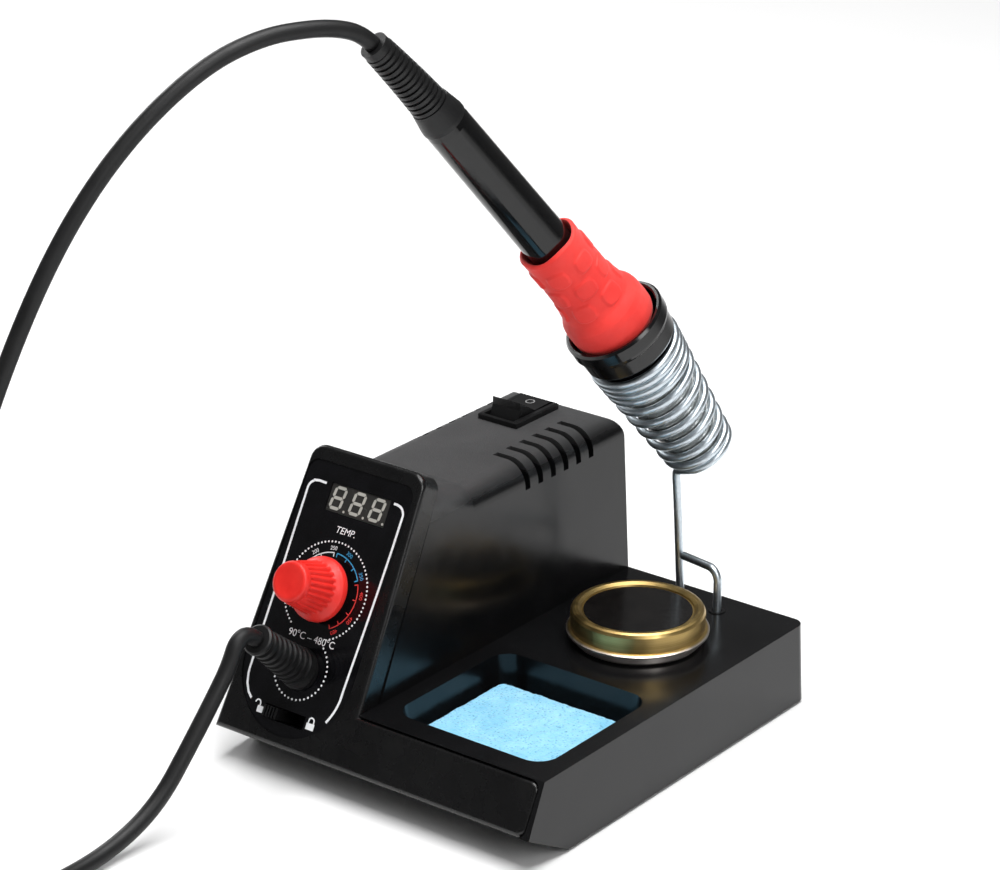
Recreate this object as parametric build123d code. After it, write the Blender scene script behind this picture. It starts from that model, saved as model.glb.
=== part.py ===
"""Soldering station: slanted-panel power tower, deck with sponge tray and flux tin, coil holder and iron.

Millimetres, +Z up. The origin is on the table under the middle of the object, X runs to the right
along the front and Y runs from the front to the rear.
"""
import os
from math import atan2, cos, degrees, hypot, pi, radians, sin, tan

from build123d import *

# ---- driving dimensions -------------------------------------------------------------------------
BASE_HALF_W = 60.0        # half the width of the base at the table
REAR_Y = 65.9             # rear wall
FRONT_Y = -76.5           # lowest, foremost edge of the slanted front cover
DECK_Z = 26.2             # top of the low deck
TOWER_TOP_Z = 78.0        # flat roof of the tower
BOTTOM_Z = 1.0            # underside of the shell, held off the table by the feet
DRAFT = 3.0               # draft of the side walls, degrees
WALL = 2.4                # moulded wall thickness
SLANT = 29.0              # lean of the front plane back from vertical, degrees
LOWER_S = -17.3           # lower edge of the front cover, along the slope from the deck level
UPPER_S = 73.0            # upper edge of the front cover, along the slope
COVER_DEPTH = 8.0         # depth of the front cover, square to the slope
COVER_SKIN = 2.8
COVER_RIGHT_X = 57.2
TOWER_FOOT_X = -9.0       # right wall of the tower at deck level
ROOF_FRONT_Y = -10.0      # where the flat roof turns up into the ramp behind the panel
SPLIT_GAP = 0.2           # joint line between the front cover and the shell

LABEL_CX = -35.4          # centre line of the control panel
LABEL_HALF_W = 20.9
LABEL_TOP_S = 68.4
LABEL_SINK = 0.9          # depth of the label recess
LABEL_T = 0.5
DISPLAY_X = (-44.2, -21.6)
DISPLAY_S = (54.2, 62.8)
KNOB_X, KNOB_S = -34.6, 31.2
BOOT_X, BOOT_S = -35.0, 7.0
LOCK_SLOT_X = (-43.3, -27.8)
LOCK_S = -7.9
LOCK_SLOT_H = 4.2

TRAY_X = (-2.9, 52.3)
TRAY_Y = (-60.4, -7.1)
TRAY_FLOOR_Z = 12.4
TRAY_CORNER_R = 7.0
SPONGE_T = 6.5
REST_GAP = 0.05           # a loose piece lies this far above what it rests on

TIN_X, TIN_Y = 24.4, 24.4
TIN_R = 20.6
TIN_TOP_Z = 37.0

ROCKER_X, ROCKER_Y = -38.35, 46.05
ROCKER_BEZEL = (15.1, 21.9)
ROCKER_PIVOT_Z = 75.3     # the rocker's pin
ROCKER_TILT = 15.0

VENT_COUNT = 6
VENT_PITCH = 6.5
VENT_FIRST_Y = 15.6
VENT_W = 2.5
VENT_BOTTOM_Z = 69.4

GLAND_X, GLAND_Z = -38.0, 20.0
GLAND_BORE_R = 3.2

WIRE_R = 1.3              # holder wire
LEG_FOOT = (15.8, 59.9)
LEG_TOP = (13.8, 58.75, 67.3)
BRACE_FOOT = (32.4, 55.6)
BRACE_WELD_Z = 39.6
COIL_CENTRE = (17.0, 67.4, 72.9)      # centre of the holder's lowest turn
COIL_AXIS = (-0.1942, -0.5287, 0.8263)
COIL_LENGTH = 49.0
COIL_TURNS = 12
COIL_R0, COIL_R1 = 10.2, 14.3         # radius to the wire's centre at the bottom and top turns
COLLAR_RIM = 60.6                     # top of the collar's rim, from the lowest turn

IRON_ORIGIN = (19.36, 70.73, 75.81)   # the iron leans in the holder; lengths on it count from here
AXIS = (-0.2342, -0.5856, 0.776)      # along the iron, from its tip to its cord

GRIP_START, GRIP_END = 57.5, 98.0
HANDLE_START = 66.4
HANDLE_END = 152.3
BOOT_LENGTH = 34.2
BOOT_BEND_R = 420.0
CORD_R = 2.5

# ---- frames ---------------------------------------------------------------------------------------
SIN, COS = sin(radians(SLANT)), cos(radians(SLANT))
EDGE_Y = FRONT_Y - LOWER_S * SIN      # front edge of the deck, on the front plane
PANEL = Plane(origin=(0, EDGE_Y, DECK_Z), x_dir=(1, 0, 0), z_dir=(0, -COS, SIN))
HOLDER = Plane(origin=COIL_CENTRE, x_dir=(0.9387, -0.3447, 0), z_dir=COIL_AXIS)
IRON = Plane(origin=IRON_ORIGIN, x_dir=(0.9285, -0.3713, 0), z_dir=AXIS)


def panel_yz(s, off):
    """Y and Z of a point s up the slope and off square to it."""
    return (EDGE_Y + s * SIN - off * COS, DECK_Z + s * COS + off * SIN)


def wall_inset(z):
    """How far a drafted side wall has leaned in at height z."""
    return z * tan(radians(DRAFT))


def save(name, shape):
    """Write one sub-part."""
    shape.label = name
    export_step(shape, f"parts/{name}.step")


def side_solid(points, x0, x1):
    """A side outline of (y, z) points, carried from x0 to x1."""
    outline = Plane.YZ.offset(x0) * make_face(Polyline(*points, close=True))
    return extrude(outline, amount=x1 - x0)


def front_solid(points, y0, y1):
    """A front outline of (x, z) points, carried from y0 to y1."""
    outline = Plane(origin=(0, y1, 0), x_dir=(1, 0, 0), z_dir=(0, -1, 0)) * make_face(
        Polyline(*points, close=True)
    )
    return extrude(outline, amount=y1 - y0)


def block(x0, x1, y0, y1, z0, z1):
    """An upright box between limits."""
    return Pos((x0 + x1) / 2, (y0 + y1) / 2, (z0 + z1) / 2) * Box(x1 - x0, y1 - y0, z1 - z0)


def tube(r_out, r_in, z0, z1):
    """A ring about Z from z0 to z1."""
    ring = Pos(0, 0, (z0 + z1) / 2) * Cylinder(r_out, z1 - z0)
    return ring - Pos(0, 0, (z0 + z1) / 2) * Cylinder(r_in, z1 - z0 + 1)


def rod(r, z0, z1):
    """A round bar about Z from z0 to z1."""
    return Pos(0, 0, (z0 + z1) / 2) * Cylinder(r, z1 - z0)


def turned(points):
    """A turned part about Z from its (radius, z) half outline."""
    outline = Plane.XZ * make_face(Polyline(*points, close=True))
    return revolve(outline, Axis.Z)


# ---- shells -----------------------------------------------------------------------------------------
def base_block(inset, z_low, z_high):
    """The low base with drafted side walls, its walls inset by the given amount."""
    half0 = BASE_HALF_W - inset
    front = [panel_yz(0, -inset), panel_yz(LOWER_S + inset, -inset)]
    toe_run = (front[1][1] - z_low) / SIN
    toe = (front[1][0] + toe_run * COS, z_low)
    top_y = panel_yz((z_high - DECK_Z) / COS, 0)[0] + inset / COS
    side = [(REAR_Y - inset, z_low), (REAR_Y - inset, z_high), (top_y, z_high), front[1], toe]
    low, high = half0 - wall_inset(z_low), half0 - wall_inset(z_high)
    sides = [(-low, z_low), (low, z_low), (high, z_high), (-high, z_high)]
    return side_solid(side, -BASE_HALF_W - 5, BASE_HALF_W + 5) & front_solid(sides, -120, 120)


def tower_block(inset, z_low, roof_r):
    """The tower behind the front cover, with a rounded roof."""
    front_off = -COVER_DEPTH - SPLIT_GAP + (1.0 if inset else 0.0)
    roof = TOWER_TOP_Z - inset
    top = panel_yz(UPPER_S - 2.5 - inset, front_off)
    foot_s = (z_low - DECK_Z - front_off * SIN) / COS
    side = [
        (REAR_Y - inset, z_low),
        (REAR_Y - inset, roof),
        (ROOF_FRONT_Y, roof),
        top,
        panel_yz(foot_s, front_off),
    ]
    z_high = 95.0
    left0 = -BASE_HALF_W + inset + wall_inset(z_low)
    left1 = -BASE_HALF_W + inset + wall_inset(z_high)
    right0 = TOWER_FOOT_X - inset - wall_inset(z_low - DECK_Z)
    right1 = TOWER_FOOT_X - inset - wall_inset(z_high - DECK_Z)
    sides = [(left0, z_low), (right0, z_low), (right1, z_high), (left1, z_high)]
    solid = side_solid(side, -BASE_HALF_W - 5, 5) & front_solid(sides, -120, 120)
    roof_z = roof - 1.0
    edges = solid.edges().filter_by(lambda e: e.center().Z > roof_z and e.length > 15)
    edges = edges.filter_by(lambda e: abs(e.center().Y - top[0]) > 3)
    edges = edges.filter_by(lambda e: not abs(e.center().Y - ROOF_FRONT_Y) < 0.5)
    return fillet(edges, roof_r)


def cover_outline(grow):
    """The L-shaped outline of the front cover in the slanted plane, grown by the given gap."""
    low_left = -BASE_HALF_W + wall_inset(DECK_Z + LOWER_S * COS)
    top_left = -BASE_HALF_W + wall_inset(DECK_Z + UPPER_S * COS)
    right_top = TOWER_FOOT_X - wall_inset(UPPER_S * COS) + 0.4
    inner_top_s = -0.5
    points = [
        (low_left - grow, LOWER_S - grow),
        (COVER_RIGHT_X + grow, LOWER_S - grow),
        (COVER_RIGHT_X + grow, inner_top_s + grow),
        (TOWER_FOOT_X - 0.4 + grow, inner_top_s + grow),
        (right_top + grow, UPPER_S + grow),
        (top_left - grow, UPPER_S + grow),
    ]
    return points


def cover_face(grow, top_r, corner_r):
    """The cover's outline as a face, its free corners rounded."""
    points = cover_outline(grow)
    face = make_face(Polyline(*points, close=True))
    tops = face.vertices().filter_by(lambda v: v.Y > UPPER_S - 4)
    face = fillet(tops, top_r)
    right = face.vertices().filter_by(lambda v: v.X > COVER_RIGHT_X - 4)
    return fillet(right, corner_r)


def label_face(shrink):
    """The label's outline: straight sides, small round top corners and a half-round bottom."""
    r = LABEL_HALF_W - shrink
    top_half = LABEL_HALF_W - 0.7 - shrink
    top = LABEL_TOP_S - shrink
    sides = make_face(
        Polyline(
            (LABEL_CX - r, BOOT_S),
            (LABEL_CX + r, BOOT_S),
            (LABEL_CX + 1.1 + top_half, top),
            (LABEL_CX + 1.1 - top_half, top),
            close=True,
        )
    )
    tops = sides.vertices().filter_by(lambda v: v.Y > top - 1)
    sides = fillet(tops, 4.0)
    return sides + Pos(LABEL_CX, BOOT_S) * Circle(r)


def panel_hole(x, s, r, off0=-20.0, off1=20.0):
    """A round cutter square to the panel."""
    return PANEL * Pos(x, s, (off0 + off1) / 2) * Cylinder(r, off1 - off0)


def panel_box(x0, x1, s0, s1, off0, off1):
    """A box square to the panel."""
    return PANEL * block(x0, x1, s0, s1, off0, off1)


def front_cover():
    """The one-piece L-shaped front: control panel on the left, low skirt along the deck."""
    solid = PANEL * extrude(cover_face(0, 5.0, 3.0), amount=-COVER_DEPTH)
    front_edges = solid.edges().filter_by(
        lambda e: all(abs(PANEL.to_local_coords(v.center()).Z) < 0.01 for v in e.vertices())
    )
    solid = fillet(front_edges, 1.6)
    pocket = Pos(0, 0, -COVER_SKIN) * extrude(cover_face(-WALL, 3.0, 1.5), amount=-COVER_DEPTH)
    solid -= PANEL * pocket
    solid -= PANEL * (Pos(0, 0, -LABEL_SINK) * extrude(label_face(0), amount=LABEL_SINK + 2))
    solid -= panel_box(DISPLAY_X[0] - 0.2, DISPLAY_X[1] + 0.2, DISPLAY_S[0] - 0.2, DISPLAY_S[1] + 0.2, -9, 3)
    solid -= panel_hole(KNOB_X, KNOB_S, 3.7)
    solid -= panel_hole(BOOT_X, BOOT_S, 6.6)
    solid -= panel_box(*LOCK_SLOT_X, LOCK_S - LOCK_SLOT_H / 2, LOCK_S + LOCK_SLOT_H / 2, -9, 3)
    return solid


def panel_label():
    """The glossy inlay, cut for the display, the knob, the cable and the lock slider."""
    solid = PANEL * (Pos(0, 0, -LABEL_SINK) * extrude(label_face(0.15), amount=LABEL_T))
    solid -= panel_box(*DISPLAY_X, *DISPLAY_S, -9, 3)
    solid -= panel_hole(KNOB_X, KNOB_S, 3.7)
    solid -= panel_hole(BOOT_X, BOOT_S, 6.6)
    solid -= panel_box(*LOCK_SLOT_X, LOCK_S - LOCK_SLOT_H / 2, LOCK_S + LOCK_SLOT_H / 2, -9, 3)
    return solid


def tray_cutter(grow, floor_z):
    """The sponge tray's hollow, drafted, grown by a wall thickness."""
    x0, x1 = TRAY_X[0] - grow, TRAY_X[1] + grow
    y0, y1 = TRAY_Y[0] - grow, TRAY_Y[1] + grow
    top = Pos((x0 + x1) / 2, (y0 + y1) / 2, DECK_Z + 0.5) * RectangleRounded(
        x1 - x0, y1 - y0, TRAY_CORNER_R + grow
    )
    return extrude(top, amount=-(DECK_Z + 0.5 - floor_z), taper=4.0)


def vent_cutters():
    """Six slots a side, wrapped over the roof's long edges."""
    cutters = []
    for i in range(VENT_COUNT):
        y = VENT_FIRST_Y + i * VENT_PITCH
        cutters.append(block(-24.0, -4.0, y - VENT_W / 2, y + VENT_W / 2, VENT_BOTTOM_Z, TOWER_TOP_Z + 4))
        cutters.append(block(-64.0, -50.6, y - VENT_W / 2, y + VENT_W / 2, VENT_BOTTOM_Z, TOWER_TOP_Z + 4))
    return cutters


BOSSES = [(-53.9, 60.0), (52.0, 60.0), (-53.9, -30.0), (53.6, -2.0)]


def upper_shell():
    """Deck, tray and tower as one thin moulding, open below and in front."""
    outer = base_block(0, BOTTOM_Z, DECK_Z)
    uprights = outer.edges().filter_by(lambda e: e.center().Y > REAR_Y - 1 and abs(e.center().X) > 50)
    uprights = uprights.filter_by(lambda e: abs(e.vertices()[0].Z - e.vertices()[1].Z) > 10)
    outer = fillet(uprights, 4.0)
    outer += tower_block(0, DECK_Z - 4, 7.5)
    inner = base_block(WALL, BOTTOM_Z - 2, DECK_Z - WALL) + tower_block(WALL, DECK_Z - 6, 5.4)
    shell = outer - inner
    shell += tray_cutter(2.0, TRAY_FLOOR_Z - 2.0) & base_block(1.0, BOTTOM_Z, DECK_Z)
    front_gap = PANEL * extrude(cover_face(SPLIT_GAP, 5.0, 3.0), amount=-COVER_DEPTH - SPLIT_GAP)
    front_clear = panel_box(-80, COVER_RIGHT_X - 4, LOWER_S - 8, -0.3, -COVER_DEPTH - SPLIT_GAP, 5)
    left_clear = panel_box(-80, -40, LOWER_S - 8, UPPER_S + 9, -COVER_DEPTH - SPLIT_GAP, 5)
    shell = shell - front_gap - front_clear - left_clear
    shell -= tray_cutter(0, TRAY_FLOOR_Z)
    for cutter in vent_cutters():
        shell -= cutter
    shell -= block(ROCKER_X - 6.6, ROCKER_X + 6.6, ROCKER_Y - 9.7, ROCKER_Y + 9.7, 68, 80)
    shell -= Pos(GLAND_X, REAR_Y, GLAND_Z) * Rot(90, 0, 0) * Cylinder(6.1, 20)
    for x, y in (LEG_FOOT, BRACE_FOOT):
        shell -= Pos(x, y, DECK_Z) * Cylinder(2.6, 12)
    for x, y in BOSSES:
        post = Pos(x, y, 0) * rod(4.0, 3.4, DECK_Z - 1.0)
        shell += post
        shell -= Pos(x, y, 0) * rod(1.2, 0, 17)
    return shell


def bottom_cover():
    """The flat underside plate, inside the shell's rim, with counterbored screw holes."""
    low = base_block(WALL + 0.3, BOTTOM_Z, DECK_Z)
    plate = low & block(-80, 80, -90, 90, BOTTOM_Z, 3.2)
    front = PANEL * block(-80, 80, LOWER_S - 20, 20, -COVER_DEPTH - 1.0, 40)
    plate -= front
    for x, y in BOSSES:
        plate -= Pos(x, y, 0) * rod(1.7, 0, 5)
        plate -= Pos(x, y, 0) * rod(3.1, 0, 2.0)
    for x, y in feet_places():
        plate -= Pos(x, y, 0) * rod(4.6, 0, 1.8)
    return plate


def feet_places():
    """The four corners that the feet sit in."""
    return [(-46, -44), (46, -44), (-40, 54), (40, 54)]


def rubber_feet():
    """Four round rubber feet, let into the bottom cover."""
    return Compound(children=[Pos(x, y, 0) * rod(4.5, 0, 1.8) for x, y in feet_places()])


def pan_screw(r, length, head_r, head_h):
    """A cross-head screw standing on its head, the shank up +Z from zero."""
    screw = rod(r, 0, length) + rod(head_r, -head_h, 0)
    slot = block(-head_r * 0.55, head_r * 0.55, -0.25, 0.25, -head_h - 0.1, -head_h * 0.45)
    return screw - slot - Rot(0, 0, 90) * slot


def case_screws():
    """Four screws from below, through the bottom cover into the shell's posts."""
    screws = [Pos(x, y, 2.0) * pan_screw(1.15, 12, 2.8, 0.9) for x, y in BOSSES]
    return Compound(children=screws)


# ---- control panel ------------------------------------------------------------------------------------
BOARD_OFF = -19.0


def control_board():
    """The circuit board behind the panel."""
    board = panel_box(-52.6, -17.2, 20.5, 66, BOARD_OFF - 1.6, BOARD_OFF)
    for x, s in board_screw_places():
        board -= panel_hole(x, s, 1.25, -30, -10)
    return board


def board_screw_places():
    """Where the board is screwed to the cover's posts."""
    return [(-50, 23.5), (-20, 23.5), (-50, 49.5), (-20, 49.5)]


def board_posts():
    """Four hexagonal posts between the board and the cover."""
    posts = []
    for x, s in board_screw_places():
        post = extrude(RegularPolygon(2.6, 6), amount=-COVER_SKIN - BOARD_OFF)
        hole = Pos(0, 0, -1) * Circle(1.0)
        post -= extrude(hole, amount=9)
        posts.append(PANEL * Pos(x, s, BOARD_OFF) * post)
    return Compound(children=posts)


def board_screws():
    """Four small screws that hold the board on its posts."""
    screws = []
    for x, s in board_screw_places():
        screws.append(PANEL * Pos(x, s, BOARD_OFF - 1.6) * pan_screw(0.95, 6.5, 2.0, 1.2))
    return Compound(children=screws)


def display_module():
    """The three-digit display block with its face just under the label's level."""
    body = panel_box(DISPLAY_X[0] + 0.1, DISPLAY_X[1] - 0.1, DISPLAY_S[0] + 0.1, DISPLAY_S[1] - 0.1, -14, -0.7)
    pins = []
    for i in range(6):
        x = DISPLAY_X[0] + 4.8 + i * 2.54
        for s in (DISPLAY_S[0] + 1.2, DISPLAY_S[1] - 1.2):
            pins.append(panel_box(x - 0.25, x + 0.25, s - 0.25, s + 0.25, BOARD_OFF, -14))
    for pin in pins:
        body += pin
    return body


def knob_place():
    """The control shaft's axis, square to the panel."""
    return PANEL * Pos(KNOB_X, KNOB_S, 0)


def potentiometer():
    """The control's body and threaded bush, bored for the shaft."""
    body = rod(8.3, BOARD_OFF, -10.0) + rod(3.5, -10.0, 3.4)
    body -= rod(3.05, BOARD_OFF + 3.0, 4)
    return knob_place() * body


def pot_nut():
    """The thin hexagonal nut that clamps the control to the cover."""
    nut = extrude(RegularPolygon(5.4, 6), amount=2.0) - rod(3.55, -1, 3)
    return knob_place() * Pos(0, 0, -LABEL_SINK + LABEL_T) * nut


def pot_shaft():
    """The control's shaft, which turns with the knob."""
    shaft = rod(3.0, BOARD_OFF + 3.3, 15.5)
    shaft -= block(2.0, 4.0, -4, 4, 7, 16)
    return knob_place() * shaft


def temperature_knob():
    """A tapered, fluted knob with a smooth cap and a low skirt."""
    outline = [
        (0, 18.6), (5.6, 18.6), (6.1, 18.1), (6.4, 15.6), (7.9, 6.2), (8.9, 5.4), (9.7, 4.2), (9.9, 2.6), (0, 2.6),
    ]
    knob = turned(outline)
    flutes = 24
    for i in range(flutes):
        cutter = Pos(7.5, 0, 10.9) * Rot(0, -9.1, 0) * Cylinder(0.62, 9.6)
        knob -= Rot(0, 0, 360 / flutes * i) * cutter
    knob -= rod(6.4, 2.0, 4.6)
    bore = rod(3.02, 2.0, 15.8) - block(2.02, 4.0, -4, 4, 7, 17)
    knob -= bore
    return knob_place() * knob


def lock_switch():
    """The slide switch's body behind the cover."""
    cx = (LOCK_SLOT_X[0] + LOCK_SLOT_X[1]) / 2
    body = panel_box(cx - 11, cx + 11, LOCK_S - 3.6, LOCK_S + 3.6, -11.5, -4.9)
    return body - panel_box(cx - 9.2, cx + 9.2, LOCK_S - 2.2, LOCK_S + 2.2, -10.0, 0)


def lock_slider():
    """The ridged slider, at the left end of its slot."""
    x0 = LOCK_SLOT_X[0] + 0.5
    x1 = x0 + 5.4
    half = LOCK_SLOT_H / 2 - 0.35
    slider = panel_box(x0, x1, LOCK_S - half, LOCK_S + half, -9.6, -0.3)
    slider += panel_box(x0, x1, LOCK_S - half, LOCK_S + half, -0.3, 1.0)
    ribs = 5
    for i in range(ribs - 1):
        x = x0 + (i + 1) * (x1 - x0) / ribs
        slider -= panel_box(x - 0.25, x + 0.25, LOCK_S - 3, LOCK_S + 3, 0.4, 2)
    return slider


def cable_boot():
    """The ribbed bend relief of the iron's cable at the panel, tipped a little upwards."""
    root = rod(6.4, -2.6, 1.0) + rod(7.8, -COVER_SKIN - 1.7, -COVER_SKIN - 0.1)
    root += rod(6.4, -COVER_SKIN - 0.2, -2.5)
    points = [(0, 0), (6.3, 0)]
    ribs = 8
    length = 25.0
    start = 2.0
    pitch = (length - start - 2.4) / ribs
    for i in range(ribs):
        z = start + i * pitch
        r = 6.2 - 2.1 * (z / length)
        points += [(r, z), (r, z + pitch * 0.55), (r - 0.8, z + pitch * 0.65), (r - 0.8, z + pitch * 0.92)]
    points += [(4.3, length - 2.2), (4.8, length - 1.4), (4.8, length - 0.4), (4.3, length), (0, length)]
    cone = Rot(-13, 0, 0) * turned(points)
    return PANEL * Pos(BOOT_X, BOOT_S, 0) * (root + cone)


# ---- power switch and mains inlet -------------------------------------------------------------------
def power_switch():
    """The rocker switch's housing, snapped into the roof."""
    place = Pos(ROCKER_X, ROCKER_Y, 0)
    half_x, half_y = ROCKER_BEZEL[0] / 2, ROCKER_BEZEL[1] / 2
    flange = block(-half_x, half_x, -half_y, half_y, TOWER_TOP_Z, TOWER_TOP_Z + 2.0)
    flange = chamfer(flange.faces().sort_by(Axis.Z)[-1].edges(), 0.4)
    body = block(-6.4, 6.4, -9.5, 9.5, 61.0, TOWER_TOP_Z)
    solid = flange + body
    solid -= block(-5.9, 5.9, -9.2, 9.2, 65.5, 80)
    solid -= block(-5.9, 5.9, -10.3, 10.3, TOWER_TOP_Z + 0.2, TOWER_TOP_Z + 5)
    solid -= Pos(0, 0, ROCKER_PIVOT_Z) * Rot(0, 90, 0) * Cylinder(1.05, 13.4)
    for y in (-5.5, 5.5):
        solid += block(-3.1, 3.1, y - 0.4, y + 0.4, 54.0, 61.0)
    return place * solid


def power_rocker():
    """The rocker on its pin, with its front end raised and its rear end pressed."""
    end_y, end_z = 8.27, 7.4
    right = [(end_y, end_z), (7.7, 5.0), (8.2, 1.0), (8.2, -1.0)]
    profile = [(0, 5.0)] + right + [(-y, z) for y, z in reversed(right)]
    rocker = side_solid(profile, -5.45, 5.45)
    rocker += block(-2.5, 2.5, -2.4, 2.4, -6.0, -0.9)
    rocker += Rot(0, 90, 0) * Cylinder(1.0, 12.4)
    return Pos(ROCKER_X, ROCKER_Y, ROCKER_PIVOT_Z) * Rot(-ROCKER_TILT, 0, 0) * rocker


def mains_gland():
    """The mains lead's inlet bush in the rear wall, bored for the lead."""
    tail = 10.6
    outline = [
        (GLAND_BORE_R, -6.0), (7.4, -6.0), (7.4, -2.6), (6.0, -2.5), (6.0, 0.05),
        (7.6, 0.1), (7.6, 1.6), (5.6, 3.0), (4.6, tail), (GLAND_BORE_R, tail),
    ]
    place = Plane(origin=(GLAND_X, REAR_Y, GLAND_Z), x_dir=(-1, 0, 0), z_dir=(0, 1, 0))
    return place * turned(outline)


# ---- inside the tower ---------------------------------------------------------------------------------
TRAFO = (-35.0, 30.0)


def transformer_core():
    """The laminated core with two mounting ears."""
    x, y = TRAFO
    core = block(x - 17, x + 17, y - 9, y + 9, 7.0, 47.0)
    core -= block(x - 11, x + 11, y - 12, y + 12, 15.0, 39.0)
    core += block(x - 4.5, x + 4.5, y - 9, y + 9, 14.9, 39.1)
    core += block(x - 22, x + 22, y - 7, y + 7, 3.4, 7.0)
    for side in (-1, 1):
        core -= Pos(x + side * 19.5, y, 0) * rod(1.7, 0, 12)
    return core


def transformer_winding():
    """The wound bobbin round the core's middle limb."""
    x, y = TRAFO
    bobbin = block(x - 10.7, x + 10.7, y - 15.5, y + 15.5, 15.3, 38.7)
    return bobbin - block(x - 4.8, x + 4.8, y - 9.3, y + 9.3, 10, 45)


def transformer_screws():
    """Two screws through the core's ears."""
    x, y = TRAFO
    screws = []
    for side in (-1, 1):
        screw = Pos(x + side * 19.5, y, 7.0) * Rot(180, 0, 0) * pan_screw(1.5, 3.5, 2.0, 1.6)
        screws.append(screw)
    return Compound(children=screws)


def power_board():
    """The small supply board lying in the base."""
    return block(-2, 46, 2, 40, 5.6, 7.2)


def board_standoffs():
    """Four moulded standoffs under the supply board."""
    places = [(1.5, 5.5), (42.5, 5.5), (1.5, 36.5), (42.5, 36.5)]
    return Compound(children=[Pos(x, y, 0) * rod(2.4, 3.2, 5.6) for x, y in places])


def filter_capacitor():
    """The upright smoothing capacitor."""
    return Pos(10, 14, 0) * rod(5.0, 7.2, 19.5)


def triac():
    """The heater's power switch, upright with its tab."""
    body = block(22, 32, 12, 16.5, 9.0, 17.0)
    tab = block(22, 32, 15.2, 16.5, 17.0, 20.5)
    legs = [block(x - 0.4, x + 0.4, 13.6, 14.4, 7.2, 9.0) for x in (24.4, 27.0, 29.6)]
    solid = body + tab
    for leg in legs:
        solid += leg
    return solid


def heat_sink():
    """The finned plate behind the triac."""
    plate = block(19, 35, 16.7, 18.2, 7.2, 21.0)
    for i in range(5):
        x = 19 + i * 3.7
        plate += block(x, x + 1.2, 18.1, 24.0, 7.2, 21.0)
    return plate


def fuse():
    """The glass fuse in its two clips, as one soldered piece."""
    barrel = Pos(10, 30, 11.0) * Rot(0, 90, 0) * Cylinder(2.6, 20)
    clips = [block(x - 2.4, x + 2.4, 26.6, 33.4, 7.2, 10.4) for x in (2.6, 17.4)]
    return barrel + clips[0] + clips[1]


# ---- holder -------------------------------------------------------------------------------------------
def holder_coil():
    """The tapered coil that takes the iron, wound from the same wire as the leg."""
    height = COIL_LENGTH - 2 * WIRE_R
    cone = degrees(atan2(COIL_R1 - COIL_R0, height))
    path = Helix(pitch=height / COIL_TURNS, height=height, radius=COIL_R0, cone_angle=cone)
    start = Plane(origin=path @ 0, z_dir=path % 0)
    coil = sweep(start * Circle(WIRE_R), path=path, is_frenet=True)
    return HOLDER * Pos(0, 0, WIRE_R) * Rot(0, 0, -90) * coil


def holder_leg():
    """The upright wire from the deck to the lowest turn."""
    foot = (LEG_FOOT[0], LEG_FOOT[1], DECK_Z - 5.0)
    path = Line(foot, LEG_TOP)
    return sweep(Plane(origin=foot, z_dir=path % 0) * Circle(WIRE_R), path=path)


def leg_at(z):
    """The centre of the leg's wire at height z."""
    k = (z - DECK_Z + 5.0) / (LEG_TOP[2] - DECK_Z + 5.0)
    return tuple(LEG_FOOT[i] + k * (LEG_TOP[i] - LEG_FOOT[i]) for i in (0, 1)) + (z,)


def holder_brace():
    """The bent side brace, welded to the leg and footed in the deck."""
    weld = leg_at(BRACE_WELD_Z)
    foot = (BRACE_FOOT[0], BRACE_FOOT[1], DECK_Z - 5.0)
    corner = (BRACE_FOOT[0], BRACE_FOOT[1], BRACE_WELD_Z + 0.6)
    step = WIRE_R * 1.5
    run = hypot(corner[0] - weld[0], corner[1] - weld[1])
    start = tuple(weld[i] + (corner[i] - weld[i]) * step / run for i in range(3))
    path = FilletPolyline(start, corner, foot, radius=4.0)
    return sweep(Plane(origin=start, z_dir=path % 0) * Circle(WIRE_R), path=path)


def holder_sockets():
    """Two bushes in the deck that grip the wires."""
    sockets = []
    for x, y in (LEG_FOOT, BRACE_FOOT):
        socket = rod(2.5, DECK_Z - WALL - 3.4, DECK_Z + 0.3)
        socket -= rod(WIRE_R + 0.25, DECK_Z - 20, DECK_Z + 5)
        sockets.append(Pos(x, y, 0) * socket)
    return Compound(children=sockets)


def coil_inner_r(t):
    """Radius of the coil's inner face at t along the axis."""
    k = (t - WIRE_R) / (COIL_LENGTH - 2 * WIRE_R)
    return COIL_R0 + (COIL_R1 - COIL_R0) * k - WIRE_R


def holder_sleeve():
    """The thin bright steel cone inside the coil."""
    t0, t1 = 1.5, COIL_LENGTH - 4.0
    r0, r1 = coil_inner_r(t0) - 0.25, coil_inner_r(t1) - 0.25
    skin = 0.6
    return HOLDER * turned([(r0 - skin, t0), (r0, t0), (r1, t1), (r1 - skin, t1)])


def holder_collar():
    """The black heat-proof ring in the coil's mouth, with a wide rim over a narrower band."""
    foot = COIL_LENGTH - 3.7
    r_fit = coil_inner_r(foot) - 0.25
    seat = COIL_LENGTH + 0.3
    band_top = COIL_LENGTH + 6.0
    outline = [
        (r_fit - 1.6, foot), (r_fit, foot), (coil_inner_r(COIL_LENGTH) - 0.4, seat - 0.2), (14.9, seat),
        (15.2, seat + 0.5), (15.4, band_top - 0.4), (16.0, band_top + 0.4), (16.2, band_top + 1.2),
        (16.2, COLLAR_RIM - 0.8), (15.6, COLLAR_RIM), (14.9, COLLAR_RIM), (14.4, COLLAR_RIM - 0.6),
        (14.3, COLLAR_RIM - 4.5), (13.0, band_top - 2.0), (r_fit - 1.6, seat + 0.6),
    ]
    return HOLDER * turned(outline)


# ---- iron -----------------------------------------------------------------------------------------------
def iron_tip():
    """The plated soldering bit."""
    return IRON * turned([(0, 4.0), (0.5, 4.2), (2.6, 15.0), (2.6, 24.0), (0, 24.0)])


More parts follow.
